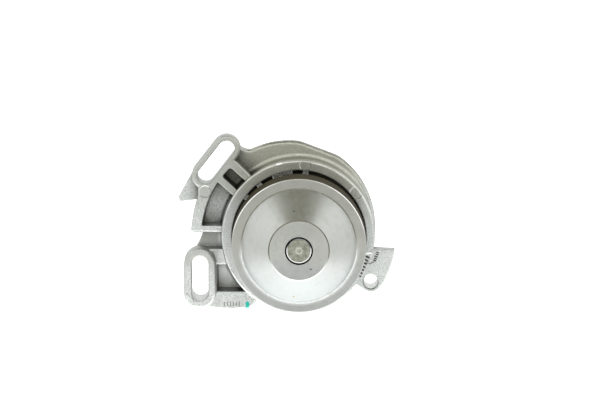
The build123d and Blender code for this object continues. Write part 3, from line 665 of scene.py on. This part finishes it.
FLOOR_Z = cad_box[0][2] - 0.5 * MM
FLOOR_HALF = 30.0
FLOOR_LIGHT = 1.3
BELOW_LIGHT = 1.45         # from here down: how bright the world is in each direction
FRONT_LIGHT = 0.38
SIDE_LIGHT = 0.82
BACK_LIGHT = 0.65
OVERHEAD_LIGHT = 0.32
FRONT_BOX_LIGHT = 1.5
CAMERA_PLACE = (0.000655, -2.52359, 0.39661)
CAMERA_TILT = 81.5         # degrees from straight down
CAMERA_LENS = 251.9


def make_floor():
    """A pale floor that only the camera sees, so that it lights nothing itself."""
    mesh = bpy.data.meshes.new("floor")
    corners = [(-FLOOR_HALF, -FLOOR_HALF, FLOOR_Z), (FLOOR_HALF, -FLOOR_HALF, FLOOR_Z),
               (FLOOR_HALF, FLOOR_HALF, FLOOR_Z), (-FLOOR_HALF, FLOOR_HALF, FLOOR_Z)]
    mesh.from_pydata(corners, [], [(0, 1, 2, 3)])
    floor = bpy.data.objects.new("floor", mesh)
    scene.collection.objects.link(floor)
    s = Shader("pale_floor")
    s.set(Base_Color=colour(0.3, 0.3, 0.3), Roughness=1.0, Specular_IOR_Level=0.0,
          Emission_Color=colour(1.0, 1.0, 1.0), Emission_Strength=FLOOR_LIGHT)
    mesh.materials.append(s.material)
    floor.visible_diffuse = False
    floor.visible_glossy = False
    floor.visible_shadow = False


def make_world():
    """A soft studio: bright below, soft at the sides and back, dim overhead, a light box in front."""
    world = bpy.data.worlds.new("studio")
    world.use_nodes = True
    tree = world.node_tree
    tree.nodes.clear()

    def add(kind, **settings):
        node = tree.nodes.new(kind)
        for key, value in settings.items():
            setattr(node, key, value)
        return node

    def feed(target, value):
        if isinstance(value, bpy.types.NodeSocket):
            tree.links.new(value, target)
        else:
            target.default_value = value

    def remap(value, low, high, out_low, out_high):
        node = add("ShaderNodeMapRange", interpolation_type="SMOOTHSTEP")
        for socket, number in zip(node.inputs, (value, low, high, out_low, out_high)):
            feed(socket, number)
        return node.outputs[0]

    def maths(operation, first, second=0.0):
        node = add("ShaderNodeMath", operation=operation)
        feed(node.inputs[0], first)
        feed(node.inputs[1], second)
        return node.outputs[0]

    axes = add("ShaderNodeSeparateXYZ")
    feed(axes.inputs[0], add("ShaderNodeTexCoord").outputs["Generated"])
    x, y, z = axes.outputs
    below = remap(z, -0.10, -0.60, 0.0, BELOW_LIGHT)
    ahead = remap(z, 0.30, -0.10, 0.0, FRONT_LIGHT)
    not_overhead = remap(z, 0.93, 0.80, 0.0, 1.0)
    sideways = maths("MULTIPLY", remap(maths("ABSOLUTE", x), 0.30, 0.60, 0.0, SIDE_LIGHT),
                     remap(z, 0.0, 0.5, 0.95, 1.18))
    behind = remap(y, 0.10, 0.55, 0.0, BACK_LIGHT)
    walls = maths("MULTIPLY", maths("MAXIMUM", sideways, behind), not_overhead)
    box_height = maths("MULTIPLY", remap(z, 0.30, 0.40, 0.0, 1.0), remap(z, 0.93, 0.87, 0.0, 1.0))
    box_width = maths("MULTIPLY", remap(y, -0.36, -0.46, 0.0, 1.0),
                      remap(maths("ABSOLUTE", x), 0.62, 0.5, 0.0, 1.0))
    front_box = maths("MULTIPLY", maths("MULTIPLY", box_height, box_width), FRONT_BOX_LIGHT)
    walls = maths("MAXIMUM", walls, front_box)
    sky = maths("MAXIMUM", maths("MAXIMUM", below, ahead), walls)
    sky = maths("ADD", sky, OVERHEAD_LIGHT)
    tint = add("ShaderNodeMix", data_type="RGBA")
    feed(tint.inputs["Factor"], remap(sky, OVERHEAD_LIGHT, 0.8, 0.0, 1.0))
    feed(tint.inputs["A"], colour(1.0, 0.97, 0.76))
    feed(tint.inputs["B"], colour(1.0, 1.0, 1.0))
    background = add("ShaderNodeBackground")
    feed(background.inputs["Color"], tint.outputs["Result"])
    feed(background.inputs["Strength"], sky)
    feed(add("ShaderNodeOutputWorld").inputs["Surface"], background.outputs[0])
    scene.world = world


def area_light(name, place, target, size, power):
    lamp = bpy.data.lights.new(name, "AREA")
    lamp.shape = "RECTANGLE"
    lamp.size, lamp.size_y = size
    lamp.energy = power
    holder = bpy.data.objects.new(name, lamp)
    scene.collection.objects.link(holder)
    holder.location = place
    direction = Vector(target) - Vector(place)
    holder.rotation_euler = direction.to_track_quat("-Z", "Y").to_euler()


def make_camera():
    camera = bpy.data.cameras.new("camera")
    camera.sensor_width = 36.0
    camera.lens = CAMERA_LENS
    camera.clip_end = 100.0
    holder = bpy.data.objects.new("camera", camera)
    scene.collection.objects.link(holder)
    holder.location = CAMERA_PLACE
    holder.rotation_euler = (math.radians(CAMERA_TILT), 0.0, 0.0)
    scene.camera = holder


make_floor()
make_world()
area_light("table_glow", (0.0, -0.22, -0.34), (0.0, -0.02, 0.0), (0.5, 0.4), 1.0)
make_camera()
scene.view_settings.view_transform = "Standard"
